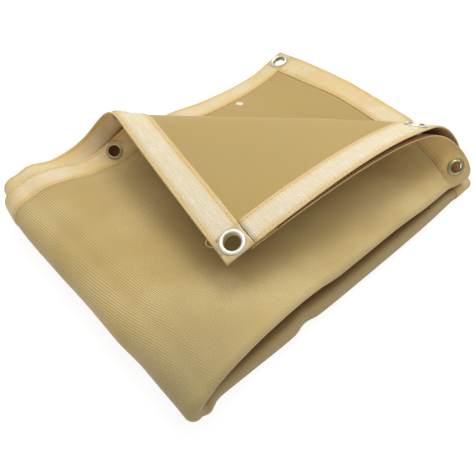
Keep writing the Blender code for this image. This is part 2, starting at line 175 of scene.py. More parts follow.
def along(stations, values, where):
    """Values of a smooth table at each place."""
    stations = np.asarray(stations, float)
    values = np.asarray(values, float)
    slopes = table_slopes(stations, values)
    where = np.clip(where, stations[0], stations[-1])
    i = np.clip(np.searchsorted(stations, where, side="right") - 1, 0, len(stations) - 2)
    step = stations[i + 1] - stations[i]
    share = (where - stations[i]) / step
    return blend(share, step, values[i], values[i + 1], slopes[i], slopes[i + 1])


def table_height(table, x, y):
    """Height of a ply over the grid of stations."""
    rows = np.array([along(X_STATIONS, row, x) for row in table])
    stations = np.asarray(Y_STATIONS)
    slopes = table_slopes(stations, rows)
    y = np.clip(y, stations[0], stations[-1])
    i = np.clip(np.searchsorted(stations, y, side="right") - 1, 0, len(stations) - 2)
    k = np.arange(len(y))
    step = stations[i + 1] - stations[i]
    share = (y - stations[i]) / step
    return blend(share, step, rows[i, k], rows[i + 1, k], slopes[i, k], slopes[i + 1, k])


def ramp(value, limits):
    """Soft step from 0 to 1 between the limits."""
    share = np.clip((value - limits[0]) / (limits[1] - limits[0]), 0.0, 1.0)
    return share * share * (3.0 - 2.0 * share)


def upper_pair(x, y):
    """Middle height of the upper two plies, and half their spacing."""
    top = table_height(TOP_PLY, x, y)
    spacing = along(Y_STATIONS, UPPER_SPACING, y)
    return top - spacing / 2, spacing / 2


def lower_pair(x, y):
    """Middle height of the lower two plies, and half their spacing."""
    third = table_height(THIRD_PLY, x, y)
    flat_x = 1.0 - ramp(x, BOTTOM_LIFT_X)
    flat_y = 1.0 - ramp(y, BOTTOM_LIFT_Y)
    bottom = BOTTOM_PLY + BOTTOM_EDGE_LIFT * (1.0 - flat_x * flat_y)
    return (third + bottom) / 2, (third - bottom) / 2


def eased(x, fold_x):
    """x, held level for a short way at the end fold."""
    return x - fold_x * np.exp(-((x - fold_x) / FOLD_EASE) ** 2)


def rolled(x, y, fold_x):
    """Place on the upper pair, carried over the diagonal roll."""
    n_x = math.cos(ROLL_ANGLE)
    n_y = math.sin(ROLL_ANGLE)
    across = x * n_x + y * n_y
    beside = x * n_y - y * n_x
    left = ((ROLL_START[0] - INNER_WIDTH * n_y) / n_x) * n_y - INNER_WIDTH * n_x
    right = HALF_LENGTH * n_y - ((ROLL_START[1] - HALF_LENGTH * n_x) / n_y) * n_x
    share = np.clip((beside - left) / (right - left), *ROLL_SPAN)
    start = ROLL_START[0] + (ROLL_START[1] - ROLL_START[0]) * share
    radius = ROLL_RADIUS[0] + (ROLL_RADIUS[1] - ROLL_RADIUS[0]) * share
    turn = ROLL_TURN[0] + (ROLL_TURN[1] - ROLL_TURN[0]) * share
    past = across - start
    angle = np.clip(past, 0.0, radius * turn) / radius
    back = np.maximum(past, 0.0)
    base = upper_pair(eased(x - back * n_x, fold_x), y - back * n_y)[0]
    flap = np.maximum(past - radius * turn, 0.0)
    reach = start + np.minimum(past, 0.0) + radius * np.sin(angle)
    reach = reach + (np.sin(turn + FLAP_RELAX * flap) - np.sin(turn)) / FLAP_RELAX
    lift = radius * (1.0 - np.cos(angle))
    lift = lift - (np.cos(turn + FLAP_RELAX * flap) - np.cos(turn)) / FLAP_RELAX
    return reach * n_x + beside * n_y, reach * n_y - beside * n_x, base + lift


def sag(x, y):
    """Shift of the upper pair beside the side fold."""
    share = np.clip((x - SAG_START) / (HALF_LENGTH - SAG_START), 0.0, SAG_SPAN) ** SAG_POWER
    return [share * pull * np.exp(-(y / reach) ** 2) for pull, reach in zip(SAG, SAG_REACH)]


def pair_middle(p, y):
    """Middle between the two plies of a pair, and half their spacing."""
    zero = np.zeros_like(y)
    upper_start, upper_half = upper_pair(zero, y)
    lower_start, lower_half = lower_pair(zero, y)
    radius = (upper_start - lower_start) / 2
    centre = (upper_start + lower_start) / 2
    fold_x = along(END_FOLD_STATIONS, END_FOLD_OUT, y) + radius + (upper_half + lower_half) / 2
    angle = np.clip(p / END_FOLD_RUN, -1.0, 1.0) * math.pi / 2
    run = np.maximum(np.abs(p) - END_FOLD_RUN, 0.0)
    upper = p > 0
    tuck = TUCK * np.exp(-(y / TUCK_REACH) ** 2)
    start_x = fold_x + np.where(upper, 0.0, tuck)
    x = start_x + run * (HALF_LENGTH - start_x) / HALF_LENGTH
    roll_x, roll_y, roll_z = rolled(x, y, fold_x)
    sag_x, sag_y, sag_z = sag(x, y)
    low_z, low_half = lower_pair(eased(x, start_x), y)
    bend = np.abs(p) < END_FOLD_RUN
    bend_x = fold_x - radius * np.cos(angle) + tuck * (1.0 - np.sin(angle)) / 2
    place_x = np.where(bend, bend_x, np.where(upper, roll_x + sag_x, x))
    place_y = np.where(bend, y, np.where(upper, roll_y + sag_y, y))
    place_z = np.where(bend, centre + radius * np.sin(angle), np.where(upper, roll_z + sag_z, low_z))
    share = (1.0 + np.sin(angle)) / 2
    bend_half = lower_half * (1.0 - share) + upper_half * share
    half = np.where(bend, bend_half, np.where(upper, upper_pair(x, y)[1], low_half))
    return np.stack([place_x, place_y, place_z], -1), half


def unit(vectors):
    """The vectors, each with length 1."""
    return vectors / np.linalg.norm(vectors, axis=-1, keepdims=True)


def pair_normal(p, y):
    """Way across the pair, turned level past the end fold."""
    step = DIFFERENCE_STEP
    along_p = pair_middle(p + step, y)[0] - pair_middle(p - step, y)[0]
    along_y = pair_middle(p, y + step)[0] - pair_middle(p, y - step)[0]
    normal = unit(np.cross(along_p, along_y))
    past = np.clip(-END_FOLD_RUN - p, 0.0, LEVEL_RUN) / LEVEL_RUN
    share = (past * past * (3.0 - 2.0 * past))[:, None]
    return unit(normal * (1.0 - share) + np.array([0.0, 0.0, -1.0]) * share)


def drape(p, q):
    """Place of the flat cloth's points in the pile, before one seat is drawn flat."""
    p = np.asarray(p, float)
    q = np.asarray(q, float)
    x = np.abs(p)
    upper_out = along(UPPER_FOLD_STATIONS, UPPER_FOLD_OUT, x)
    lower_out = along(LOWER_FOLD_STATIONS, LOWER_FOLD_OUT, x)
    fold_y = np.where(p > 0, upper_out, lower_out)
    radius = pair_middle(p, fold_y + FOLD_PROBE)[1]
    centre_y = fold_y + radius
    angle = np.clip(q / SIDE_FOLD_RUN, -1.0, 1.0) * math.pi / 2
    bend = np.abs(q) < SIDE_FOLD_RUN
    width = np.where(q > 0, OUTER_WIDTH, INNER_WIDTH)
    run = np.maximum(np.abs(q) - SIDE_FOLD_RUN, 0.0)
    y = np.where(bend, centre_y - radius * np.cos(angle), centre_y + run * (width - centre_y) / width)
    middle, half = pair_middle(p, y)
    fold_half = pair_middle(p, centre_y)[1]
    offset = np.where(bend, fold_half * np.sin(angle), np.sign(q) * half)
    return middle + offset[:, None] * pair_normal(p, y)


def ring_plane(surface, centre, radius):
    """Flat plane through a ring of the surface: its middle and the ways of p and q."""
    turns = np.arange(RING_POINTS) * 2 * math.pi / RING_POINTS
    ring = surface(centre[0] + radius * np.cos(turns), centre[1] + radius * np.sin(turns))
    along_p = unit((ring * np.cos(turns)[:, None]).sum(axis=0))
    along_q = (ring * np.sin(turns)[:, None]).sum(axis=0)
    along_q = unit(along_q - along_p * (along_q @ along_p))
    return ring.mean(axis=0), along_p, along_q


TAUT_ORIGIN, TAUT_P, TAUT_Q = ring_plane(drape, TAUT_CENTRE, TAUT_PROBE)


def place(p, q):
    """Place of the flat cloth's points in the pile."""
    p = np.asarray(p, float)
    q = np.asarray(q, float)
    beside_p = p - TAUT_CENTRE[0]
    beside_q = q - TAUT_CENTRE[1]
    share = (1.0 - ramp(np.hypot(beside_p, beside_q), TAUT_RADII))[:, None]
    flat = TAUT_ORIGIN + beside_p[:, None] * TAUT_P + beside_q[:, None] * TAUT_Q
    return drape(p, q) * (1.0 - share) + flat * share


def cloth_normal(p, q):
    """Way off the cloth at each point."""
    step = DIFFERENCE_STEP
    along_p = place(p + step, q) - place(p - step, q)
    along_q = place(p, q + step) - place(p, q - step)
    return unit(np.cross(along_p, along_q))


def seat(centre):
    """Flat seat of an eyelet: its middle, the ways of p and q, and the way off the cloth."""
    origin, along_p, along_q = ring_plane(place, centre, SEAT_RADIUS)
    return origin, along_p, along_q, np.cross(along_p, along_q)


# The pile stands in the row's frame, and one flat eyelet gives the shift.
low, high = (np.array(corner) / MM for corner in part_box("eyelet_03"))
anchor = seat(EYELETS[2][1:3])[0]
SHIFT = np.array([(low[0] + high[0]) / 2 - anchor[0], (low[1] + high[1]) / 2 - anchor[1], 0.0])

# Creases of the net. Columns: p and q of the first end, p and q of the second, half width, height.
CREASES = [
    (40.0, 60.0, 150.0, 30.0, 14.0, 0.9),
    (60.0, 110.0, 190.0, 95.0, 18.0, -0.9),
    (150.0, 40.0, 260.0, 95.0, 12.0, 0.9),
    (235.0, 25.0, 330.0, 60.0, 10.0, -0.9),
    (290.0, 20.0, 372.0, 42.0, 9.0, 1.1),
    (45.0, 200.0, 120.0, 150.0, 16.0, 0.8),
    (70.0, 235.0, 200.0, 150.0, 20.0, -0.8),
    (300.0, -90.0, 400.0, -40.0, 16.0, 0.8),
    (250.0, -230.0, 395.0, -300.0, 18.0, -1.0),
    (330.0, -120.0, 360.0, -280.0, 22.0, 0.9),
    (-300.0, -200.0, -380.0, -120.0, 20.0, 1.2),
    (-250.0, -280.0, -330.0, -230.0, 18.0, -1.2),
    (10.0, 60.0, 10.0, 250.0, 12.0, 0.8),
    (395.0, 10.0, 395.0, 95.0, 4.5, -0.8),
    (387.0, 14.0, 388.0, 85.0, 4.5, 0.8),
    (379.0, 16.0, 380.0, 72.0, 5.0, -0.7),
    (352.0, 16.0, 374.0, 34.0, 6.0, 1.2),
]
CREASE_ENDS = (0.04, 0.96)


def relief(p, q):
    """Height of the creases over the plain cloth."""
    height = np.zeros_like(p)
    for p0, q0, p1, q1, width, top in CREASES:
        run = np.array([p1 - p0, q1 - q0])
        length = np.hypot(*run)
        share = np.clip(((p - p0) * run[0] + (q - q0) * run[1]) / length ** 2, 0.0, 1.0)
        away = np.hypot(p - p0 - share * run[0], q - q0 - share * run[1])
        height += top * np.exp(-(away / width) ** 2) * np.sin(math.pi * np.clip(share, *CREASE_ENDS))
    return height


# Colours. The deep ones are painted shade, tinting what lies close to other cloth or to the floor.
NET_DARK = (0.36, 0.235, 0.055)
NET_LIGHT = (0.74, 0.60, 0.31)
NET_TINT = (0.50, 0.33, 0.085)
NET_YARN = (0.62, 0.46, 0.19)
NET_CLOSE_SHADE = (0.50, 0.17, 0.015)
TAPE_CLOSE_SHADE = (0.46, 0.16, 0.02)
# Painted shade of the tape at the open end of the bundle.
TAPE_END_SHADE = (0.41, 0.285, 0.115)
DEEPEST_SHADE = (0.085, 0.030, 0.008)
# Painted shade of the net along the side fold and where the folds cross.
NET_FOLD_SHADE = (0.27, 0.215, 0.10)
FLECK = (0.80, 0.76, 0.62)
TAPE_DARK = (0.70, 0.56, 0.30)
TAPE_LIGHT = (0.82, 0.77, 0.63)
TAPE_WHITE = (0.86, 0.84, 0.77)
TAPE_GOLD = (0.70, 0.47, 0.14)
TAPE_CORNER = (0.58, 0.39, 0.14)

# Painted shade between cloths that lie close: its reach in millimetres, then its limits as openness.
NEARNESS = 50.0
NEAR_SAMPLES = 6
TINTED_LIMITS = (0.25, 0.8)
DEEPEST_LIMITS = (0.42, 0.05)
DEEPEST_SHARE = 0.75

# The look of the net. Lengths are metres of flat cloth, as in its UV map.
FACE_EASE = 0.002
RIB_PITCH = 0.0020
RIB_SLANT = 0.05
FOLD_SLANT = 0.24
FOLD_SLANT_REACH = 0.12
FOLD_SLANT_EASE = 0.10
SWAY_SCALE = 9.0
SWAY = 0.010
PATCH_SCALE = 11.0
PATCH_LIMITS = (0.38, 0.62)
RIB_DEPTH = 0.2
RIB_DEPTH_ON_TOP = 0.08
RIB_DEPTH_IN_PATCHES = 0.42
WALE_PITCH = 0.00183
WALE_DEPTH = 0.25
WALE_DEPTH_AT_FOLD = 0.3
WALE_FOLD_LIMITS = (0.12, 0.03)
CLOUD_SCALE = 14.0
CLOUD_LIMITS = (0.4, 0.7)
CLOUD_SHARE = 0.3
YARN_SCALE = 900.0
YARN_SHARE = 0.2
YARN_RELIEF = 0.3
# Painted shade along the side fold and where the folds cross: where it lies and how strong.
FOLD_SHADE_U_LIMITS = (0.13, 0.02)
FOLD_SHADE_V_LIMITS = (0.13, 0.03)
FOLD_SHADE_SHARE = 0.55
NET_ROUGHNESS = 0.85
NET_SHEEN = 0.12
NET_SHEEN_ROUGHNESS = 0.5
CLOTH_BUMP = (0.4, 0.0004)

# The light fleck on the third ply, in millimetres of flat cloth.
FLECK_CENTRE = (-323.5, -297.5)
FLECK_TURN = math.radians(125.0)
FLECK_SIZE = (5.0, 3.2)
FLECK_POWER = 4.0
FLECK_LIMITS = (1.0, 0.6)

# The look of the tape. Lengths are metres of flat cloth.
THREAD_PITCH = 0.00178
THREAD_DEPTH = 0.65
CROSS_PITCH = 0.0024
CROSS_DEPTH = 0.2
STREAK_SCALE = 60.0
STREAK_STRETCH = (1.0, 14.0, 1.0)
STREAK_LIMITS = (0.45, 0.7)
STREAK_SHARE = 0.5
BLOTCH_SCALE = 25.0
BLOTCH_LIMITS = (0.35, 0.65)
BLOTCH_DEPTH = 0.6
BLOTCH_LEAST = 0.3
INNER_PLY_LIMITS = (0.0, -0.01)
FLAP_LIMITS = (0.14, 0.24)
FAR_PLY_LIMITS = (-0.2, -0.3)
WARMTH = 0.8
FLAP_COOLING = 0.75
FAR_PLY_COOLING = 0.1
EDGING_LIMITS = (0.4, 0.9)
EDGING_DEPTH = 0.7
EDGING_LEAST = 0.35
# Painted shade round the open end of the bundle: where it lies, and how the streaks break it.
UPPER_END_SHADE_U = (0.39, 0.405)
UPPER_END_SHADE_V = (-0.012, 0.0)
LOWER_END_SHADE_U = (-0.37, -0.39)
LOWER_END_SHADE_V = (0.07, 0.045)
END_SHADE_STREAK = -0.6
END_SHADE_SHARE = 1.1
CORNER_EASE = 0.002
CORNER_SHARE = 0.6
TAPE_ROUGHNESS = 0.7
TAPE_SHEEN = 0.1

# Eyelets and thread. Columns: colour, roughness, metallic.
FLANGE_LOOK = ((0.93, 0.92, 0.84), 0.38, 0.8)
BARREL_LOOK = ((0.52, 0.46, 0.22), 0.3, 1.0)
WASHER_LOOK = ((0.36, 0.40, 0.20), 0.3, 1.0)
STITCH_LOOK = ((0.74, 0.56, 0.24), 0.8, 0.0)
GRAIN_SCALE = 900.0
GRAIN_DETAIL = 3.0
GRAIN_SHARE = 0.15
GRAIN_BUMP = (0.1, 0.0002)


def new_material(name):
    """A node material, its tree and its shader."""
    material = bpy.data.materials.new(name)
    material.use_nodes = True
    shader = material.node_tree.nodes["Principled BSDF"]
    return material, material.node_tree, shader


class Graph:
    """Short names for the nodes of one tree."""

    def __init__(self, tree):
        self.tree = tree

    def node(self, kind, **values):
        """A new node with these settings."""
        made = self.tree.nodes.new(kind)
        for key, value in values.items():
            setattr(made, key, value)
        return made

    def link(self, source, target):
        """Sets a plain number, or links a socket."""
        if isinstance(source, (int, float)):
            target.default_value = source
        else:
            self.tree.links.new(source, target)

    def math(self, operation, first, second=0.0, third=0.0):
        """One step of arithmetic."""
        made = self.node("ShaderNodeMath", operation=operation)
        for socket, value in zip(made.inputs, (first, second, third)):
            self.link(value, socket)
        return made.outputs[0]

    def uv(self):
        """The flat cloth's coordinates: the vector, p and q, in metres."""
        coordinates = self.node("ShaderNodeUVMap", uv_map="cloth")
        parts = self.node("ShaderNodeSeparateXYZ")
        self.link(coordinates.outputs[0], parts.inputs[0])
        return coordinates.outputs[0], parts.outputs[0], parts.outputs[1]

    def wave(self, value, pitch):
        """0 to 1 and back once a pitch."""
        turn = self.math("MULTIPLY", value, 2 * math.pi / pitch)
        return self.math("MULTIPLY_ADD", self.math("SINE", turn), 0.5, 0.5)

    def band(self, value, start, end):
        """0 before start, 1 past end, in a soft step."""
        made = self.node("ShaderNodeMapRange", interpolation_type="SMOOTHSTEP")
        self.link(value, made.inputs["Value"])
        made.inputs["From Min"].default_value = min(start, end)
        made.inputs["From Max"].default_value = max(start, end)
        made.inputs["To Min"].default_value = 0.0 if start < end else 1.0
        made.inputs["To Max"].default_value = 1.0 if start < end else 0.0
        return made.outputs[0]

    def mix(self, share, first, second):
        """The first colour, with this share of the second."""
        made = self.node("ShaderNodeMix", data_type="RGBA")
        self.link(share, made.inputs[0])
        for value, socket in ((first, made.inputs[6]), (second, made.inputs[7])):
            if isinstance(value, tuple):
                socket.default_value = value + (1.0,)
            else:
                self.tree.links.new(value, socket)
        return made.outputs[2]

    def noise(self, vector, scale, detail=3.0, stretch=None):
        """Soft noise from 0 to 1."""
        made = self.node("ShaderNodeTexNoise")
        made.inputs["Scale"].default_value = scale
        made.inputs["Detail"].default_value = detail
        if stretch:
            mapping = self.node("ShaderNodeMapping")
            mapping.inputs["Scale"].default_value = stretch
            self.tree.links.new(vector, mapping.inputs[0])
            vector = mapping.outputs[0]
        self.tree.links.new(vector, made.inputs["Vector"])
        return made.outputs["Fac"]

    def paint_close_shade(self, base, tint):
        """Base with painted shade: richer and darker where the cloth lies close to other cloth or the floor.
        """
        near = self.node("ShaderNodeAmbientOcclusion", samples=NEAR_SAMPLES)
        near.inputs["Distance"].default_value = NEARNESS * MM
        rich = self.node("ShaderNodeMix", data_type="RGBA", blend_type="MULTIPLY")
        rich.inputs[0].default_value = 1.0
        self.tree.links.new(base, rich.inputs[6])
        rich.inputs[7].default_value = tint + (1.0,)
        openness = near.outputs["AO"]
        shaded = self.mix(self.band(openness, *TINTED_LIMITS), rich.outputs[2], base)
        deepest = self.math("MULTIPLY", self.band(openness, *DEEPEST_LIMITS), DEEPEST_SHARE)
        return self.mix(deepest, shaded, DEEPEST_SHADE)

    def bump(self, height, shader, strength, distance):
        """Relief in the shader's normal."""
        made = self.node("ShaderNodeBump")
        made.inputs["Strength"].default_value = strength
        made.inputs["Distance"].default_value = distance
        self.link(height, made.inputs["Height"])
        self.tree.links.new(made.outputs[0], shader.inputs["Normal"])


def square_mask(g, u, v, edge):
    """1 in the corner squares, where two borders cross."""
    past_end = g.math("SUBTRACT", g.math("ABSOLUTE", u), (P_END - END_BORDER_WIDTH) * MM)
    past_outer = g.math("SUBTRACT", v, (Q_OUTER - SIDE_BORDER_WIDTH) * MM)
    past_inner = g.math("SUBTRACT", g.math("MULTIPLY", v, -1.0), (Q_INNER - SIDE_BORDER_WIDTH) * MM)
    past_side = g.math("MAXIMUM", past_outer, past_inner)
    return g.band(g.math("MINIMUM", past_end, past_side), 0.0, edge)


def fleck_mask(g, u, v):
    """1 inside the small slanted fleck."""
    du = g.math("SUBTRACT", u, FLECK_CENTRE[0] * MM)
    dv = g.math("SUBTRACT", v, FLECK_CENTRE[1] * MM)
    cosine = math.cos(FLECK_TURN)
    sine = math.sin(FLECK_TURN)
    along_it = g.math("MULTIPLY_ADD", du, cosine, g.math("MULTIPLY", dv, sine))
    across_it = g.math("MULTIPLY_ADD", dv, cosine, g.math("MULTIPLY", du, -sine))
    shares = []
    for reach, size in zip((along_it, across_it), FLECK_SIZE):
        shares.append(g.math("POWER", g.math("DIVIDE", reach, size * MM), FLECK_POWER))
    return g.band(g.math("ADD", *shares), *FLECK_LIMITS)


def net_material():
    """Knit with ribs and wales, a little cloudy, with painted shade along the side fold and where the folds
    cross, and where the cloth lies close.
    """
    material, tree, shader = new_material("net_knit")
    g = Graph(tree)
    vector, u, v = g.uv()
    on_top = g.band(v, -FACE_EASE, FACE_EASE)
    # Ribs run across the length, and beside the side fold they are pulled aslant.
    near = g.math("SMOOTH_MIN", g.math("MAXIMUM", v, 0.0), FOLD_SLANT_REACH, FOLD_SLANT_EASE)
    pulled = g.math("MULTIPLY_ADD", v, RIB_SLANT, g.math("MULTIPLY", near, FOLD_SLANT))
    sway = g.math("MULTIPLY", g.noise(vector, SWAY_SCALE, 1.0), SWAY)
    ribs = g.wave(g.math("ADD", g.math("ADD", u, pulled), sway), RIB_PITCH)
    wales = g.wave(v, WALE_PITCH)
    cloudy = g.noise(vector, CLOUD_SCALE, 4.0)
    patches = g.band(g.noise(vector, PATCH_SCALE, 2.0), *PATCH_LIMITS)
    top_share = g.math("MULTIPLY_ADD", patches, RIB_DEPTH_IN_PATCHES, RIB_DEPTH_ON_TOP)
    rib_share = g.math("MULTIPLY_ADD", on_top, top_share, RIB_DEPTH)
    pattern = g.math("MULTIPLY", ribs, rib_share)
    fold_lines = g.band(g.math("ABSOLUTE", v), *WALE_FOLD_LIMITS)
    wale_share = g.math("MULTIPLY_ADD", fold_lines, WALE_DEPTH_AT_FOLD, WALE_DEPTH)
    pattern = g.math("MULTIPLY_ADD", wales, wale_share, pattern)
    yarn = g.noise(vector, YARN_SCALE, 2.0)
    base = g.mix(pattern, NET_DARK, NET_LIGHT)
    base = g.mix(g.math("MULTIPLY", g.band(cloudy, *CLOUD_LIMITS), CLOUD_SHARE), base, NET_TINT)
    base = g.mix(g.math("MULTIPLY", yarn, YARN_SHARE), base, NET_YARN)
    base = g.mix(fleck_mask(g, u, v), base, FLECK)
    # Painted shade along the side fold of the lower plies and where the two folds cross.
    fold_shade_u = g.band(u, *FOLD_SHADE_U_LIMITS)
    fold_shade_v = g.band(g.math("ABSOLUTE", v), *FOLD_SHADE_V_LIMITS)
    base = g.mix(g.math("MULTIPLY", g.math("MULTIPLY", fold_shade_u, fold_shade_v), FOLD_SHADE_SHARE), base, NET_FOLD_SHADE)
    # Painted shade where the net lies close to other cloth or the floor.
    tree.links.new(g.paint_close_shade(base, NET_CLOSE_SHADE), shader.inputs["Base Color"])
    shader.inputs["Roughness"].default_value = NET_ROUGHNESS
    shader.inputs["Sheen Weight"].default_value = NET_SHEEN
    shader.inputs["Sheen Roughness"].default_value = NET_SHEEN_ROUGHNESS
    g.bump(g.math("ADD", pattern, g.math("MULTIPLY", yarn, YARN_RELIEF)), shader, *CLOTH_BUMP)
    return material


def from_middle_line(g, value, middle, width):
    """0 on the middle line of a border, 1 at both of its edges."""
    away = g.math("ABSOLUTE", g.math("SUBTRACT", value, middle * MM))
    return g.math("DIVIDE", away, width / 2 * MM)


def tape_material():
    """Woven tape, whitest on the turned-back corner, golden along both edges, with painted shade at the open
    end of the bundle and where the cloth lies close.
    """
    material, tree, shader = new_material("border_weave")
    g = Graph(tree)
    vector, u, v = g.uv()
    threads = g.wave(v, THREAD_PITCH)
    cross = g.wave(u, CROSS_PITCH)
    streak = g.noise(vector, STREAK_SCALE, 3.0, STREAK_STRETCH)
    cloudy = g.noise(vector, BLOTCH_SCALE, 3.0)
    weave = g.math("MULTIPLY_ADD", threads, THREAD_DEPTH, g.math("MULTIPLY", cross, CROSS_DEPTH))
    base = g.mix(weave, TAPE_DARK, TAPE_LIGHT)
    base = g.mix(g.math("MULTIPLY", g.band(streak, *STREAK_LIMITS), STREAK_SHARE), base, TAPE_WHITE)
    inner_ply = g.band(v, *INNER_PLY_LIMITS)
    flap = g.math("MULTIPLY", g.band(u, *FLAP_LIMITS), inner_ply)
    far_ply = g.math("MULTIPLY", g.band(u, *FAR_PLY_LIMITS), inner_ply)
    # Golden where the border is turned in and sewn down.
    half_side = SIDE_BORDER_WIDTH / 2
    from_end = from_middle_line(g, g.math("ABSOLUTE", u), P_END - END_BORDER_WIDTH / 2, END_BORDER_WIDTH)
    from_outer = from_middle_line(g, v, Q_OUTER - half_side, SIDE_BORDER_WIDTH)
    from_inner = from_middle_line(g, v, half_side - Q_INNER, SIDE_BORDER_WIDTH)
    from_middle = g.math("MINIMUM", from_end, g.math("MINIMUM", from_outer, from_inner))
    edging_share = g.math("MULTIPLY_ADD", cloudy, EDGING_DEPTH, EDGING_LEAST)
    edging = g.math("MULTIPLY", g.band(from_middle, *EDGING_LIMITS), edging_share)
    base = g.mix(edging, base, TAPE_GOLD)
    # Painted shade: tan round the open end of the folded bundle, where the tape lies in shade.
    upper_end_shade = g.math("MULTIPLY", g.band(u, *UPPER_END_SHADE_U), g.band(v, *UPPER_END_SHADE_V))
    lower_end_shade = g.math("MULTIPLY", g.band(u, *LOWER_END_SHADE_U), g.band(g.math("ABSOLUTE", v), *LOWER_END_SHADE_V))
    end_shade_streak = g.math("MULTIPLY_ADD", streak, END_SHADE_STREAK, END_SHADE_SHARE)
    end_shade_share = g.math("MULTIPLY", g.math("MAXIMUM", upper_end_shade, lower_end_shade), end_shade_streak)
    base = g.mix(end_shade_share, base, TAPE_END_SHADE)
    cooling = g.math("MULTIPLY_ADD", flap, FLAP_COOLING, g.math("MULTIPLY", far_ply, FAR_PLY_COOLING))
    warm = g.math("SUBTRACT", WARMTH, cooling)
    blotches = g.math("MULTIPLY_ADD", g.band(cloudy, *BLOTCH_LIMITS), BLOTCH_DEPTH, BLOTCH_LEAST)
    base = g.mix(g.math("MULTIPLY", warm, blotches), base, TAPE_GOLD)
    corner_share = g.math("MULTIPLY", square_mask(g, u, v, CORNER_EASE), CORNER_SHARE)
    base = g.mix(corner_share, base, TAPE_CORNER)
    # Painted shade where the tape lies close to other cloth or the floor.
    tree.links.new(g.paint_close_shade(base, TAPE_CLOSE_SHADE), shader.inputs["Base Color"])
    shader.inputs["Roughness"].default_value = TAPE_ROUGHNESS
    shader.inputs["Sheen Weight"].default_value = TAPE_SHEEN
    g.bump(weave, shader, *CLOTH_BUMP)
    return material


def plain_material(name, colour, roughness, metallic):
    """One colour with a fine grain."""
    material, tree, shader = new_material(name)
    g = Graph(tree)
    where = g.node("ShaderNodeTexCoord").outputs["Object"]
    grain = g.noise(where, GRAIN_SCALE, GRAIN_DETAIL)
    darker = tuple(channel * (1.0 - GRAIN_SHARE) for channel in colour)
    tree.links.new(g.mix(grain, darker, colour), shader.inputs["Base Color"])
    shader.inputs["Roughness"].default_value = roughness
    shader.inputs["Metallic"].default_value = metallic
    g.bump(grain, shader, *GRAIN_BUMP)
    return material


def make_piece(name, corners, polygons, materials, uv=None, indices=None):
    """A piece of the scene from corners in millimetres in the frame of the pile."""
    mesh = bpy.data.meshes.new(name)
    mesh.from_pydata([tuple(corner) for corner in (corners + SHIFT) * MM], [], polygons)
    for material in materials:
        mesh.materials.append(material)
    if indices is not None:
        mesh.polygons.foreach_set("material_index", indices)
    if uv is not None:
        layer = mesh.uv_layers.new(name="cloth")
        loops = np.empty(len(mesh.loops), int)
        mesh.loops.foreach_get("vertex_index", loops)
        layer.data.foreach_set("uv", (np.asarray(uv)[loops] * MM).ravel())
    mesh.shade_smooth()
    mesh.update()
    piece = bpy.data.objects.new(name, mesh)
    bpy.context.scene.collection.objects.link(piece)
    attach(piece, "root")
    return piece


def lines_between(first, last, step):
    """Even stations from first to last, at most a step apart."""
    count = max(1, math.ceil(abs(last - first) / step))
    return list(np.linspace(first, last, count + 1))


# The mesh of the net, and the thin raised margin beside the tape, in millimetres.
NET_STEP = 3.4
LOWER_PLIES_STEP = 1.5
FOLD_STEP = 2.4
UNDER_TAPE = 2.0
MARGIN = 1.6
MARGIN_LIP = 0.6
MARGIN_RAISE = 0.6
RELIEF_LIMITS = (4.0, 30.0)


def make_net(material):
    """The net inside the borders, with its edges run a little under the tape."""
    end_p = P_END - END_BORDER_WIDTH + UNDER_TAPE
    end_out = Q_OUTER - SIDE_BORDER_WIDTH + UNDER_TAPE
    end_in = Q_INNER - SIDE_BORDER_WIDTH + UNDER_TAPE
    step = NET_STEP
    edge = [MARGIN + UNDER_TAPE + MARGIN_LIP, MARGIN + UNDER_TAPE]
    lines_p = lines_between(-end_p, -END_FOLD_RUN, step * LOWER_PLIES_STEP)[:-1]
    lines_p += lines_between(-END_FOLD_RUN, END_FOLD_RUN, FOLD_STEP)[:-1]
    lines_p += lines_between(END_FOLD_RUN, end_p, step)
    lines_p += [end_p - away for away in edge] + [away - end_p for away in edge]
    lines_q = lines_between(-end_in, -SIDE_FOLD_RUN, step)[:-1]
    lines_q += lines_between(-SIDE_FOLD_RUN, SIDE_FOLD_RUN, FOLD_STEP)[:-1]
    lines_q += lines_between(SIDE_FOLD_RUN, end_out, step)
    lines_q += [end_out - away for away in edge]
    lines_p = sorted(lines_p)
    lines_q = sorted(lines_q)
    p, q = (value.ravel() for value in np.meshgrid(lines_p, lines_q, indexing="ij"))
    end_margin = ramp(np.abs(p), (end_p - edge[0], end_p - edge[1]))
    side_margin = ramp(q, (end_out - edge[0], end_out - edge[1]))
    margin = np.where(q > 0, np.maximum(end_margin, side_margin), 0.0) * MARGIN_RAISE
    inside = np.minimum.reduce([end_p - np.abs(p), end_out - q, end_in + q])
    height = relief(p, q) * ramp(inside, RELIEF_LIMITS) + margin
    corners = place(p, q) + cloth_normal(p, q) * height[:, None]
    columns = len(lines_q)
    polygons = []
    for i in range(len(lines_p) - 1):
        for j in range(columns - 1):
            first = i * columns + j
            polygons.append((first, first + columns, first + columns + 1, first + 1))
    piece = make_piece("net", corners, polygons, [material], uv=np.stack([p, q], 1))
    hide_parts("panel")
    return piece, (2 * end_p * MM, (end_out + end_in) * MM)


# Columns: distance from the border's free edge, half thickness there.
FREE_SIDE = [(0.0, 0.35), (0.5, 0.8), (1.6, 1.05), (3.0, 0.7), (4.6, 1.1)]
# Columns: distance from the seam with the net, half thickness there.
SEAM_SIDE = [(4.6, 1.1), (3.0, 0.7), (1.6, 1.0), (0.5, 0.8), (0.0, 0.3)]
MIDDLE_SHARES = (0.32, 0.5, 0.68)
MIDDLE_HALF = 1.15
BORDER_STEP = 5.0
BORDER_FOLD_LINES = 17
LEAST_GAP = 0.8
SEAT_CLEARANCE = 0.8
HOLE_SIDES = 24
MERGE_WITHIN = 1e-5
SEAT_EDGE = 0.1
END_HALF = 0.35
END_RISE = 0.7


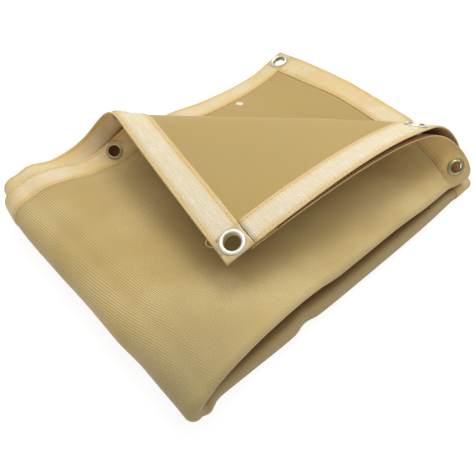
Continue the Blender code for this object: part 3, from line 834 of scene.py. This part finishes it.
def border_section(width):
    """The section of a border: distance from its free edge, half thickness."""
    middle = [(share * width, MIDDLE_HALF) for share in MIDDLE_SHARES]
    return FREE_SIDE + middle + [(width - away, half) for away, half in SEAM_SIDE]


def border_lines(runs_along_p, first_line, last_line):
    """Stations along a border, closer together round its fold."""
    lines = lines_between(first_line, last_line, BORDER_STEP)
    fold = END_FOLD_RUN if runs_along_p else SIDE_FOLD_RUN
    fold_lines = np.linspace(-fold, fold, BORDER_FOLD_LINES)
    lines += [value for value in fold_lines if first_line < value < last_line]
    lines = sorted(set(round(value, 3) for value in lines))
    kept = lines[:1]
    for before, value in zip(lines, lines[1:]):
        if value - before > LEAST_GAP or value == lines[-1]:
            kept.append(value)
    return kept


def border_outline(runs_along_p, lines, section, free_edge, inward, centres):
    """Points of the flat border, and the edges to keep: its long sides and the rings of its seats."""
    points = []
    edges = []
    for k, (away, _) in enumerate(section):
        rail = free_edge + inward * away
        on_edge = k in (0, len(section) - 1)
        row = []
        for line in lines:
            point = (line, rail) if runs_along_p else (rail, line)
            if on_edge or all(math.dist(point, centre) > SEAT_RADIUS + SEAT_CLEARANCE for centre in centres):
                row.append(len(points))
                points.append(point)
        if on_edge:
            edges += list(zip(row, row[1:]))
    for centre in centres:
        for radius in (HOLE_RADIUS, (HOLE_RADIUS + SEAT_RADIUS) / 2, SEAT_RADIUS):
            base = len(points)
            for k in range(HOLE_SIDES):
                turn = k * 2 * math.pi / HOLE_SIDES
                points.append((centre[0] + radius * math.cos(turn), centre[1] + radius * math.sin(turn)))
                edges.append((base + k, base + (k + 1) % HOLE_SIDES))
    return points, edges


def make_border(name, runs_along_p, first_line, last_line, free_edge, inward, centres, material):
    """A hem strip: free_edge is the line of its outer side, inward +1 or -1 towards the net."""
    lines = border_lines(runs_along_p, first_line, last_line)
    section = border_section(SIDE_BORDER_WIDTH if runs_along_p else END_BORDER_WIDTH)
    points, edges = border_outline(runs_along_p, lines, section, free_edge, inward, centres)
    result = delaunay_2d_cdt([Vector(point) for point in points], edges, [], 0, MERGE_WITHIN)
    flat = np.array([tuple(corner) for corner in result[0]])
    faces = []
    for face in result[2]:
        middle = flat[list(face)].mean(axis=0)
        if all(math.dist(middle, centre) > HOLE_RADIUS for centre in centres):
            faces.append(tuple(face))
    middle = place(flat[:, 0], flat[:, 1])
    normals = cloth_normal(flat[:, 0], flat[:, 1])
    away = np.abs((flat[:, 1] if runs_along_p else flat[:, 0]) - free_edge)
    half = np.interp(away, [row[0] for row in section], [row[1] for row in section])
    line = flat[:, 0] if runs_along_p else flat[:, 1]
    if runs_along_p:
        from_ends = np.minimum(line - first_line, last_line - line)
        half = np.minimum(half, END_HALF + END_RISE * from_ends)
    for centre in centres:
        origin, along_p, along_q, outward = seat(centre)
        offset = flat - np.array(centre)
        inside = np.linalg.norm(offset, axis=1) < SEAT_RADIUS + SEAT_EDGE
        middle[inside] = origin + offset[inside, :1] * along_p + offset[inside, 1:] * along_q
        normals[inside] = outward
    count = len(flat)
    corners = np.vstack([middle + normals * half[:, None], middle - normals * half[:, None]])
    polygons = list(faces) + [tuple(i + count for i in reversed(face)) for face in faces]
    sides = {(face[i], face[(i + 1) % len(face)]) for face in faces for i in range(len(face))}
    for first, second in sorted(sides):
        if (second, first) not in sides:
            polygons.append((second, first, first + count, second + count))
    piece = make_piece("tape_" + name, corners, polygons, [material], uv=np.vstack([flat, flat]))
    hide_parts(name)
    return piece


# Columns: radius, height above the border's middle, material (0 flange, 1 barrel, 2 washer).
EYELET_SECTION = [
    (11.6, 1.15, 0),
    (12.0, 1.35, 0),
    (12.0, 1.75, 0),
    (11.5, 2.25, 0),
    (10.6, 2.55, 0),
    (9.6, 2.6, 0),
    (8.9, 2.35, 0),
    (8.3, 1.9, 1),
    (7.6, 1.2, 1),
    (6.9, 0.4, 1),
    (6.45, -0.5, 1),
    (6.3, -1.6, 1),
    (6.35, -2.4, 1),
    (6.7, -2.85, 1),
    (7.3, -2.9, 1),
    (7.9, -2.6, 1),
    (8.2, -2.1, 2),
    (8.5, -1.85, 2),
    (8.9, -1.95, 2),
    (9.3, -1.8, 2),
    (9.4, -1.45, 2),
    (9.1, -1.2, 2),
    (7.7, -1.15, 1),
    (7.7, 1.15, 1),
]
EYELET_SIDES = 48


def make_eyelet(number, centre, side, materials):
    """A fitted eyelet, turned about the axis of its seat."""
    origin, along_p, along_q, outward = seat(centre)
    rows = len(EYELET_SECTION)
    corners = []
    for k in range(EYELET_SIDES):
        turn = k * 2 * math.pi / EYELET_SIDES
        radial = along_p * math.cos(turn) + along_q * math.sin(turn)
        for radius, height, _ in EYELET_SECTION:
            corners.append(origin + radial * radius + outward * height * side)
    total = rows * EYELET_SIDES
    polygons = []
    indices = []
    for k in range(EYELET_SIDES):
        for i in range(rows):
            j = (i + 1) % rows
            first = k * rows
            second = (first + rows) % total
            quad = (first + i, first + j, second + j, second + i)
            polygons.append(quad if side > 0 else quad[::-1])
            indices.append(EYELET_SECTION[i][2])
    name = f"eyelet_ring_{number:02d}"
    piece = make_piece(name, np.array(corners), polygons, materials, indices=indices)
    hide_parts(f"eyelet_{number:02d}")
    return piece


# Sewing, in millimetres: the length of a stitch, its thread, and its place on the border.
STITCH_LENGTH = 3.0
STITCH_PITCH = 4.0
STITCH_RADIUS = 0.28
STITCH_AWAY = 3.0
STITCH_FROM_END = 4.0
STITCH_CLEARANCE = 2.5
STITCH_HEIGHT = 0.7
STITCH_SHARES = (-0.5, -0.3, 0.3, 0.5)
STITCH_RISE = (-0.15, 0.12, 0.12, -0.15)
THREAD_SIDES = 5

# A loose end of thread: how far its points stand from its start, along p, along q and off the face.
LOOSE_START = (408.0, -333.0)
LOOSE_THREAD = [
    (0.0, 0.0, -0.6),
    (-1.2, -2.2, -0.2),
    (-3.4, -4.0, 0.4),
    (-6.0, -4.4, 0.8),
    (-8.2, -3.2, 0.9),
    (-9.0, -1.2, 0.5),
    (-8.2, 0.4, -0.4),
]


def add_thread(corners, polygons, points, sides, others):
    """A closed length of thread through the points."""
    start = len(corners)
    for point, side, other in zip(points, sides, others):
        for k in range(THREAD_SIDES):
            turn = k * 2 * math.pi / THREAD_SIDES
            corners.append(point + (side * math.cos(turn) + other * math.sin(turn)) * STITCH_RADIUS)
    last = len(corners) - THREAD_SIDES
    for ring in range(start, last, THREAD_SIDES):
        for k in range(THREAD_SIDES):
            after = (k + 1) % THREAD_SIDES
            polygons.append((ring + k, ring + after, ring + THREAD_SIDES + after, ring + THREAD_SIDES + k))
    polygons.append(tuple(start + k for k in reversed(range(THREAD_SIDES))))
    polygons.append(tuple(last + k for k in range(THREAD_SIDES)))


def add_loose_thread(corners, polygons):
    """A curl of thread beside the turned-back corner's eyelet, added to the sewing."""
    p, q = (np.array([value]) for value in LOOSE_START)
    origin = place(p, q)[0]
    outward = cloth_normal(p, q)[0]
    along_p = unit(place(p + 1.0, q)[0] - origin)
    along_q = np.cross(outward, along_p)
    path = np.array(LOOSE_THREAD)
    points = origin + path[:, :1] * along_p + path[:, 1:2] * along_q + path[:, 2:] * outward
    ways = np.gradient(points, axis=0)
    sides = unit(np.cross(ways, outward))
    others = unit(np.cross(sides, ways))
    add_thread(corners, polygons, points, sides, others)


def stitch_middles(runs_along_p, first_line, last_line, rail, centres):
    """Where the stitches of one line sit, clear of the eyelets."""
    kept = []
    for value in np.arange(first_line + STITCH_FROM_END, last_line - STITCH_FROM_END, STITCH_PITCH):
        point = (value, rail) if runs_along_p else (rail, value)
        if all(math.dist(point, centre) > SEAT_RADIUS + STITCH_CLEARANCE for centre in centres):
            kept.append(value)
    return np.array(kept)


def make_stitching(runs, material):
    """Lockstitches on both faces of each border, in its two sunken lines."""
    corners = []
    polygons = []
    step = DIFFERENCE_STEP
    count = len(STITCH_SHARES)
    for runs_along_p, first_line, last_line, free_edge, inward, centres in runs:
        width = SIDE_BORDER_WIDTH if runs_along_p else END_BORDER_WIDTH
        for away in (STITCH_AWAY, width - STITCH_AWAY):
            rail = free_edge + inward * away
            middles = stitch_middles(runs_along_p, first_line, last_line, rail, centres)
            line = (middles[:, None] + np.array(STITCH_SHARES) * STITCH_LENGTH).ravel()
            rails = np.full_like(line, rail)
            p, q = (line, rails) if runs_along_p else (rails, line)
            base = place(p, q)
            normals = cloth_normal(p, q)
            ahead = place(p + step, q) - base if runs_along_p else place(p, q + step) - base
            across = unit(np.cross(normals, unit(ahead)))
            rise = np.tile(STITCH_RISE, len(middles))[:, None]
            for face in (1.0, -1.0):
                points = base + normals * face * (STITCH_HEIGHT + rise)
                for i in range(0, len(line), count):
                    stitch = slice(i, i + count)
                    add_thread(corners, polygons, points[stitch], across[stitch], normals[stitch])
    add_loose_thread(corners, polygons)
    piece = make_piece("stitching", np.array(corners), polygons, [material])
    return piece


BORDER_GAP = 0.2


def build():
    """The whole netting: net, borders, eyelets and sewing."""
    net = net_material()
    tape = tape_material()
    flange = plain_material("eyelet_flange", *FLANGE_LOOK)
    barrel = plain_material("eyelet_barrel", *BARREL_LOOK)
    washer = plain_material("eyelet_washer", *WASHER_LOOK)
    thread = plain_material("stitch_thread", *STITCH_LOOK)
    sheet, flat = make_net(net)
    inner_end = SIDE_BORDER_WIDTH - Q_INNER + BORDER_GAP
    outer_end = Q_OUTER - SIDE_BORDER_WIDTH - BORDER_GAP
    # Columns: node, whether it runs along p, first and last line, free edge, way to the net.
    borders = [
        ("border_outer_plies", True, -P_END, P_END, Q_OUTER, -1),
        ("border_inner_plies", True, -P_END, P_END, -Q_INNER, 1),
        ("border_upper_end", False, inner_end, outer_end, P_END, -1),
        ("border_lower_end", False, inner_end, outer_end, -P_END, 1),
    ]
    runs = []
    for name, runs_along_p, first_line, last_line, free_edge, inward in borders:
        centres = [(p, q) for border, p, q, _ in EYELETS if border == name]
        run = (runs_along_p, first_line, last_line, free_edge, inward, centres)
        make_border(name, *run, tape)
        runs.append(run)
    for number, (_, p, q, side) in enumerate(EYELETS, start=1):
        make_eyelet(number, (p, q), side, [flange, barrel, washer])
    stitches = make_stitching(runs, thread)


FLOOR_REACH = 6.0
FLOOR_DROP = 0.0002
FLOOR_COLOUR = (0.16, 0.16, 0.16, 1.0)
FLOOR_ROUGHNESS = 0.9
FLOOR_GLOW = 0.88
WHITE = (1.0, 1.0, 1.0, 1.0)
# Light of the sky at the horizon and overhead, and how high it takes to change.
SKY_LIGHT = (0.30, 0.60)
SKY_LIMITS = (0.0, 0.9)
# Columns: name, place, size, power.
LAMPS = [
    ("key", (0.60, 0.45, 1.65), 0.9, 14.0),
    ("overhead", (-0.1, 0.3, 1.9), 1.6, 6.0),
    ("side", (0.85, -0.6, 1.3), 0.8, 3.2),
]


def set_stage():
    """Pale floor, soft sky and three soft lamps."""
    floor_mesh = bpy.data.meshes.new("floor")
    square = ((-1, -1), (1, -1), (1, 1), (-1, 1))
    floor_mesh.from_pydata([(x * FLOOR_REACH, y * FLOOR_REACH, 0) for x, y in square], [], [(0, 1, 2, 3)])
    floor = bpy.data.objects.new("floor", floor_mesh)
    bpy.context.scene.collection.objects.link(floor)
    material, _, shader = new_material("floor_paper")
    shader.inputs["Base Color"].default_value = FLOOR_COLOUR
    shader.inputs["Roughness"].default_value = FLOOR_ROUGHNESS
    shader.inputs["Emission Color"].default_value = WHITE
    shader.inputs["Emission Strength"].default_value = FLOOR_GLOW
    floor_mesh.materials.append(material)
    floor.location.z = -FLOOR_DROP
    world = bpy.data.worlds.new("studio")
    world.use_nodes = True
    g = Graph(world.node_tree)
    upward = g.node("ShaderNodeSeparateXYZ")
    g.link(g.node("ShaderNodeTexCoord").outputs["Generated"], upward.inputs[0])
    low_light, high_light = SKY_LIGHT
    height_share = g.band(upward.outputs[2], *SKY_LIMITS)
    glow = g.math("MULTIPLY_ADD", height_share, high_light - low_light, low_light)
    background = world.node_tree.nodes["Background"]
    background.inputs[0].default_value = WHITE
    g.link(glow, background.inputs[1])
    bpy.context.scene.world = world
    for name, where, size, power in LAMPS:
        light = bpy.data.lights.new(name, "AREA")
        light.size = size
        light.energy = power
        lamp = bpy.data.objects.new(name, light)
        lamp.location = where
        lamp.rotation_euler = (-Vector(where)).to_track_quat("-Z", "Y").to_euler()
        bpy.context.scene.collection.objects.link(lamp)


def set_camera():
    """The camera that took the photograph."""
    yaw = math.radians(CAMERA_YAW)
    pitch = math.radians(CAMERA_PITCH)
    roll = math.radians(CAMERA_ROLL)
    forward = Vector((math.cos(yaw) * math.cos(pitch), math.sin(yaw) * math.cos(pitch), -math.sin(pitch)))
    right = Vector((math.sin(yaw), -math.cos(yaw), 0.0))
    down = forward.cross(right)
    image_right = right * math.cos(roll) + down * math.sin(roll)
    image_down = down * math.cos(roll) - right * math.sin(roll)
    turned = Matrix((image_right, -image_down, -forward)).transposed().to_4x4()
    camera_data = bpy.data.cameras.new("camera")
    camera_data.sensor_width = SENSOR_MM
    camera_data.lens = CAMERA_FOCAL_PX / IMAGE_PX * SENSOR_MM
    camera_data.clip_start = CLIP_START
    camera = bpy.data.objects.new("camera", camera_data)
    camera_place = Vector((np.array(CAMERA_PLACE) + SHIFT) * MM)
    camera.matrix_world = Matrix.Translation(camera_place) @ turned
    bpy.context.scene.collection.objects.link(camera)
    bpy.context.scene.camera = camera


set_camera()
build()
set_stage()
bpy.context.scene.view_settings.view_transform = "Standard"
